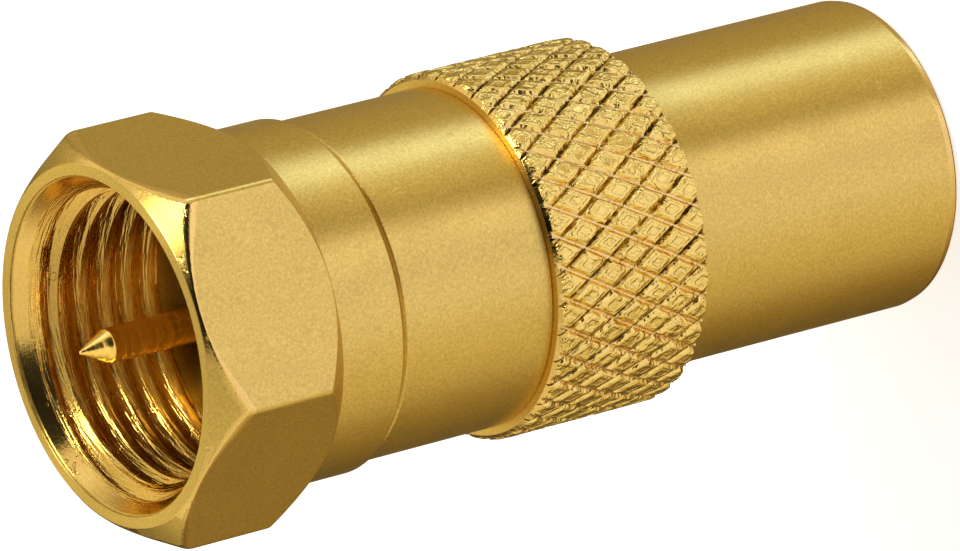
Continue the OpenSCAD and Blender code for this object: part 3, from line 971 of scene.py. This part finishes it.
# %% [markdown]
# ## Floor
# Small bright metal is often shown on a sheet of milky glass: the floor is pale and matt to the
# eye, and the metal sees mostly what lies below it. So reflections pass through this floor and
# leave only a faint veil of it. It glows a little for the camera and in reflections, so that it
# looks white, and the adapter's shadow stays on it.

# %% Floor
floor_material, tree = empty_material("floor_milky_glass")
path = add(tree, "ShaderNodeLightPath").outputs
seen = add(tree, MATH, (path["Is Camera Ray"], path["Is Glossy Ray"]), operation="ADD")
seen = add(tree, MATH, (seen, path["Is Transmission Ray"]), operation="ADD", use_clamp=True)
GLOW, CLEARNESS, FLOOR_RADIUS = 0.55, 0.95, 4
strength = add(tree, MATH, (seen, GLOW), operation="MULTIPLY")
matt = add(tree, "ShaderNodeBsdfDiffuse", {"Color": linear("#F0F0EE")})
glow = add(tree, "ShaderNodeEmission", {"Color": (1, 1, 1, 1), "Strength": strength})
pale = add(tree, "ShaderNodeAddShader", (matt, glow))
clear = add(tree, "ShaderNodeBsdfTransparent")
share = add(tree, MATH, (path["Is Glossy Ray"], CLEARNESS), operation="MULTIPLY")
sheet = add(tree, "ShaderNodeMixShader", (share, pale, clear))
add(tree, "ShaderNodeOutputMaterial", {"Surface": sheet})
bm = bmesh.new()
bmesh.ops.create_circle(bm, cap_ends=True, segments=96, radius=FLOOR_RADIUS)
bmesh.ops.translate(bm, verts=bm.verts, vec=(0, 0, -0.02 * MM))
floor_mesh = bpy.data.meshes.new("floor")
bm.to_mesh(floor_mesh)
bm.free()
floor_mesh.materials.append(floor_material)
floor = bpy.data.objects.new("floor", floor_mesh)
bpy.context.collection.objects.link(floor)
floor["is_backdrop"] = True
print("floor radius", FLOOR_RADIUS, "m")

# %% [markdown]
# ## Cards, lamp and sky
# Metal shows what is round it. Below the horizon stand cards, at the bearings where a studio sets
# them up: a wide pale one towards the camera, a narrow one of bright daylight beside it, and darker
# gaps that give the round pieces their shape. Above it the sky is an even soft white, a little
# darker overhead, with black cloths round the camera: edges that face the camera turn dark in them.
# They are levels on the world's bearing, from +Y through +X, so every side has its bands. Real
# cards would need a place for each side that is looked at, and would show behind the object.

# %% Key lamp
key_way = Vector((0.6, -0.1, 0.79)).normalized()
key_aim = Vector((0, 0, 27))
key_data = bpy.data.lights.new("key_softbox", "AREA")
key_data.shape = "SQUARE"
key_data.size = 110 * MM
key_data.energy = 0.4
key = bpy.data.objects.new("key_softbox", key_data)
bpy.context.collection.objects.link(key)
key.location = (key_aim + key_way * 300) * MM
key.rotation_euler = key_way.to_track_quat("Z", "Y").to_euler()
print("key lamp at", [round(c / MM) for c in key.location], "mm")

# %% Cards below the horizon
world = bpy.data.worlds.new("studio")
world.use_nodes = True
tree = world.node_tree
tree.nodes.clear()
way = add(tree, "ShaderNodeTexCoord").outputs["Generated"]
look = add(tree, "ShaderNodeSeparateXYZ", (way,)).outputs
bearing = add(tree, MATH, (look[0], look[1]), operation="ARCTAN2")
bearing = add(tree, MATH, (bearing, 2 * math.pi), operation="DIVIDE")
bearing = add(tree, MATH, (bearing, 1.0), operation="ADD")
bearing = add(tree, MATH, (bearing,), operation="FRACT")
# Bearing in degrees, brightness and tint. The light goes evenly from each to the next.
WARM, CREAM, WHITE, PALE = "#FFDFA6", "#FFF3DE", "#FFFFFF", "#F6F2FF"
COOL, DAYLIGHT, MOST = "#DCDDFF", "#B4C8FF", 3.3
cards = [
    (0, 0.16, CREAM), (24, 0.3, CREAM), (60, 0.5, CREAM), (84, 0.55, CREAM),
    (96, MOST, DAYLIGHT), (104, MOST, DAYLIGHT), (113, 0.84, WHITE), (126, 0.76, CREAM),
    (142, 0.54, CREAM), (157, 1.87, COOL), (178, 1.52, COOL), (204, 1.52, COOL),
    (225, 1.04, PALE), (245, 0.85, CREAM), (263, 0.7, CREAM), (282, 0.4, WARM),
    (302, 0.24, WARM), (322, 0.12, WARM), (340, 0.07, WARM)]
level = add(tree, "ShaderNodeValToRGB", {"Fac": bearing})
ramp = level.color_ramp
while len(ramp.elements) < len(cards):
    ramp.elements.new(0.5)
for element, (angle, brightness, tint) in zip(ramp.elements, cards):
    element.position = angle / 360
    element.color = linear(tint, brightness / MOST)
below = add(tree, "ShaderNodeBackground", {"Color": level.outputs["Color"], "Strength": MOST})
print("cards:", len(cards))

# %% Sky and black cloths
sky = add(tree, RANGE, {
    "Value": look[2], "From Min": 0.2, "From Max": 0.95, "To Min": 1.15, "To Max": 0.6})
# Each cloth is a round patch: the way to its middle, and its half width in degrees
cloths = [((0.33, -0.68, 0.65), 31), ((0.05, -0.42, 0.91), 13)]
for middle, half in cloths:
    nearness = add(tree, VECTOR, (way, Vector(middle).normalized()), operation="DOT_PRODUCT")
    cloth = add(tree, RANGE, {
        "Value": nearness.outputs["Value"], "From Min": math.cos(math.radians(half + 4)),
        "From Max": math.cos(math.radians(half)), "To Min": 1.0, "To Max": 0.02})
    sky = add(tree, MATH, (sky, cloth), operation="MULTIPLY")
above = add(tree, "ShaderNodeBackground", {"Color": linear("#FFFAF0"), "Strength": sky})
split = add(tree, RANGE, {
    "Value": look[2], "From Min": 0.1, "From Max": 0.34, "To Min": 0.0, "To Max": 1.0})
both = add(tree, "ShaderNodeMixShader", (split, below, above))
print("cloths:", len(cloths))

# %% White for the camera
# Past the floor's edge the camera sees plain white, while metal goes on reflecting the cards
path = add(tree, "ShaderNodeLightPath").outputs
seen = add(tree, MATH, (path["Is Camera Ray"], path["Is Transmission Ray"]),
           operation="ADD", use_clamp=True)
white = add(tree, "ShaderNodeBackground", {"Color": (1, 1, 1, 1), "Strength": 1.0})
shown = add(tree, "ShaderNodeMixShader", (seen, both, white))
add(tree, "ShaderNodeOutputWorld", {"Surface": shown})
bpy.context.scene.world = world
bpy.context.scene.view_settings.view_transform = "Standard"
print("world:", world.name)

# %% [markdown]
# ## Check and finish
# The difference between the CAD model's box and the visual model's box is printed, because the
# looks must not change the object's size.

# %% Write the sizes and finish
low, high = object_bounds()
print("grew by, in mm:", [round((a - b) / MM, 4) for a, b in zip(high - low, cad_high - cad_low)])
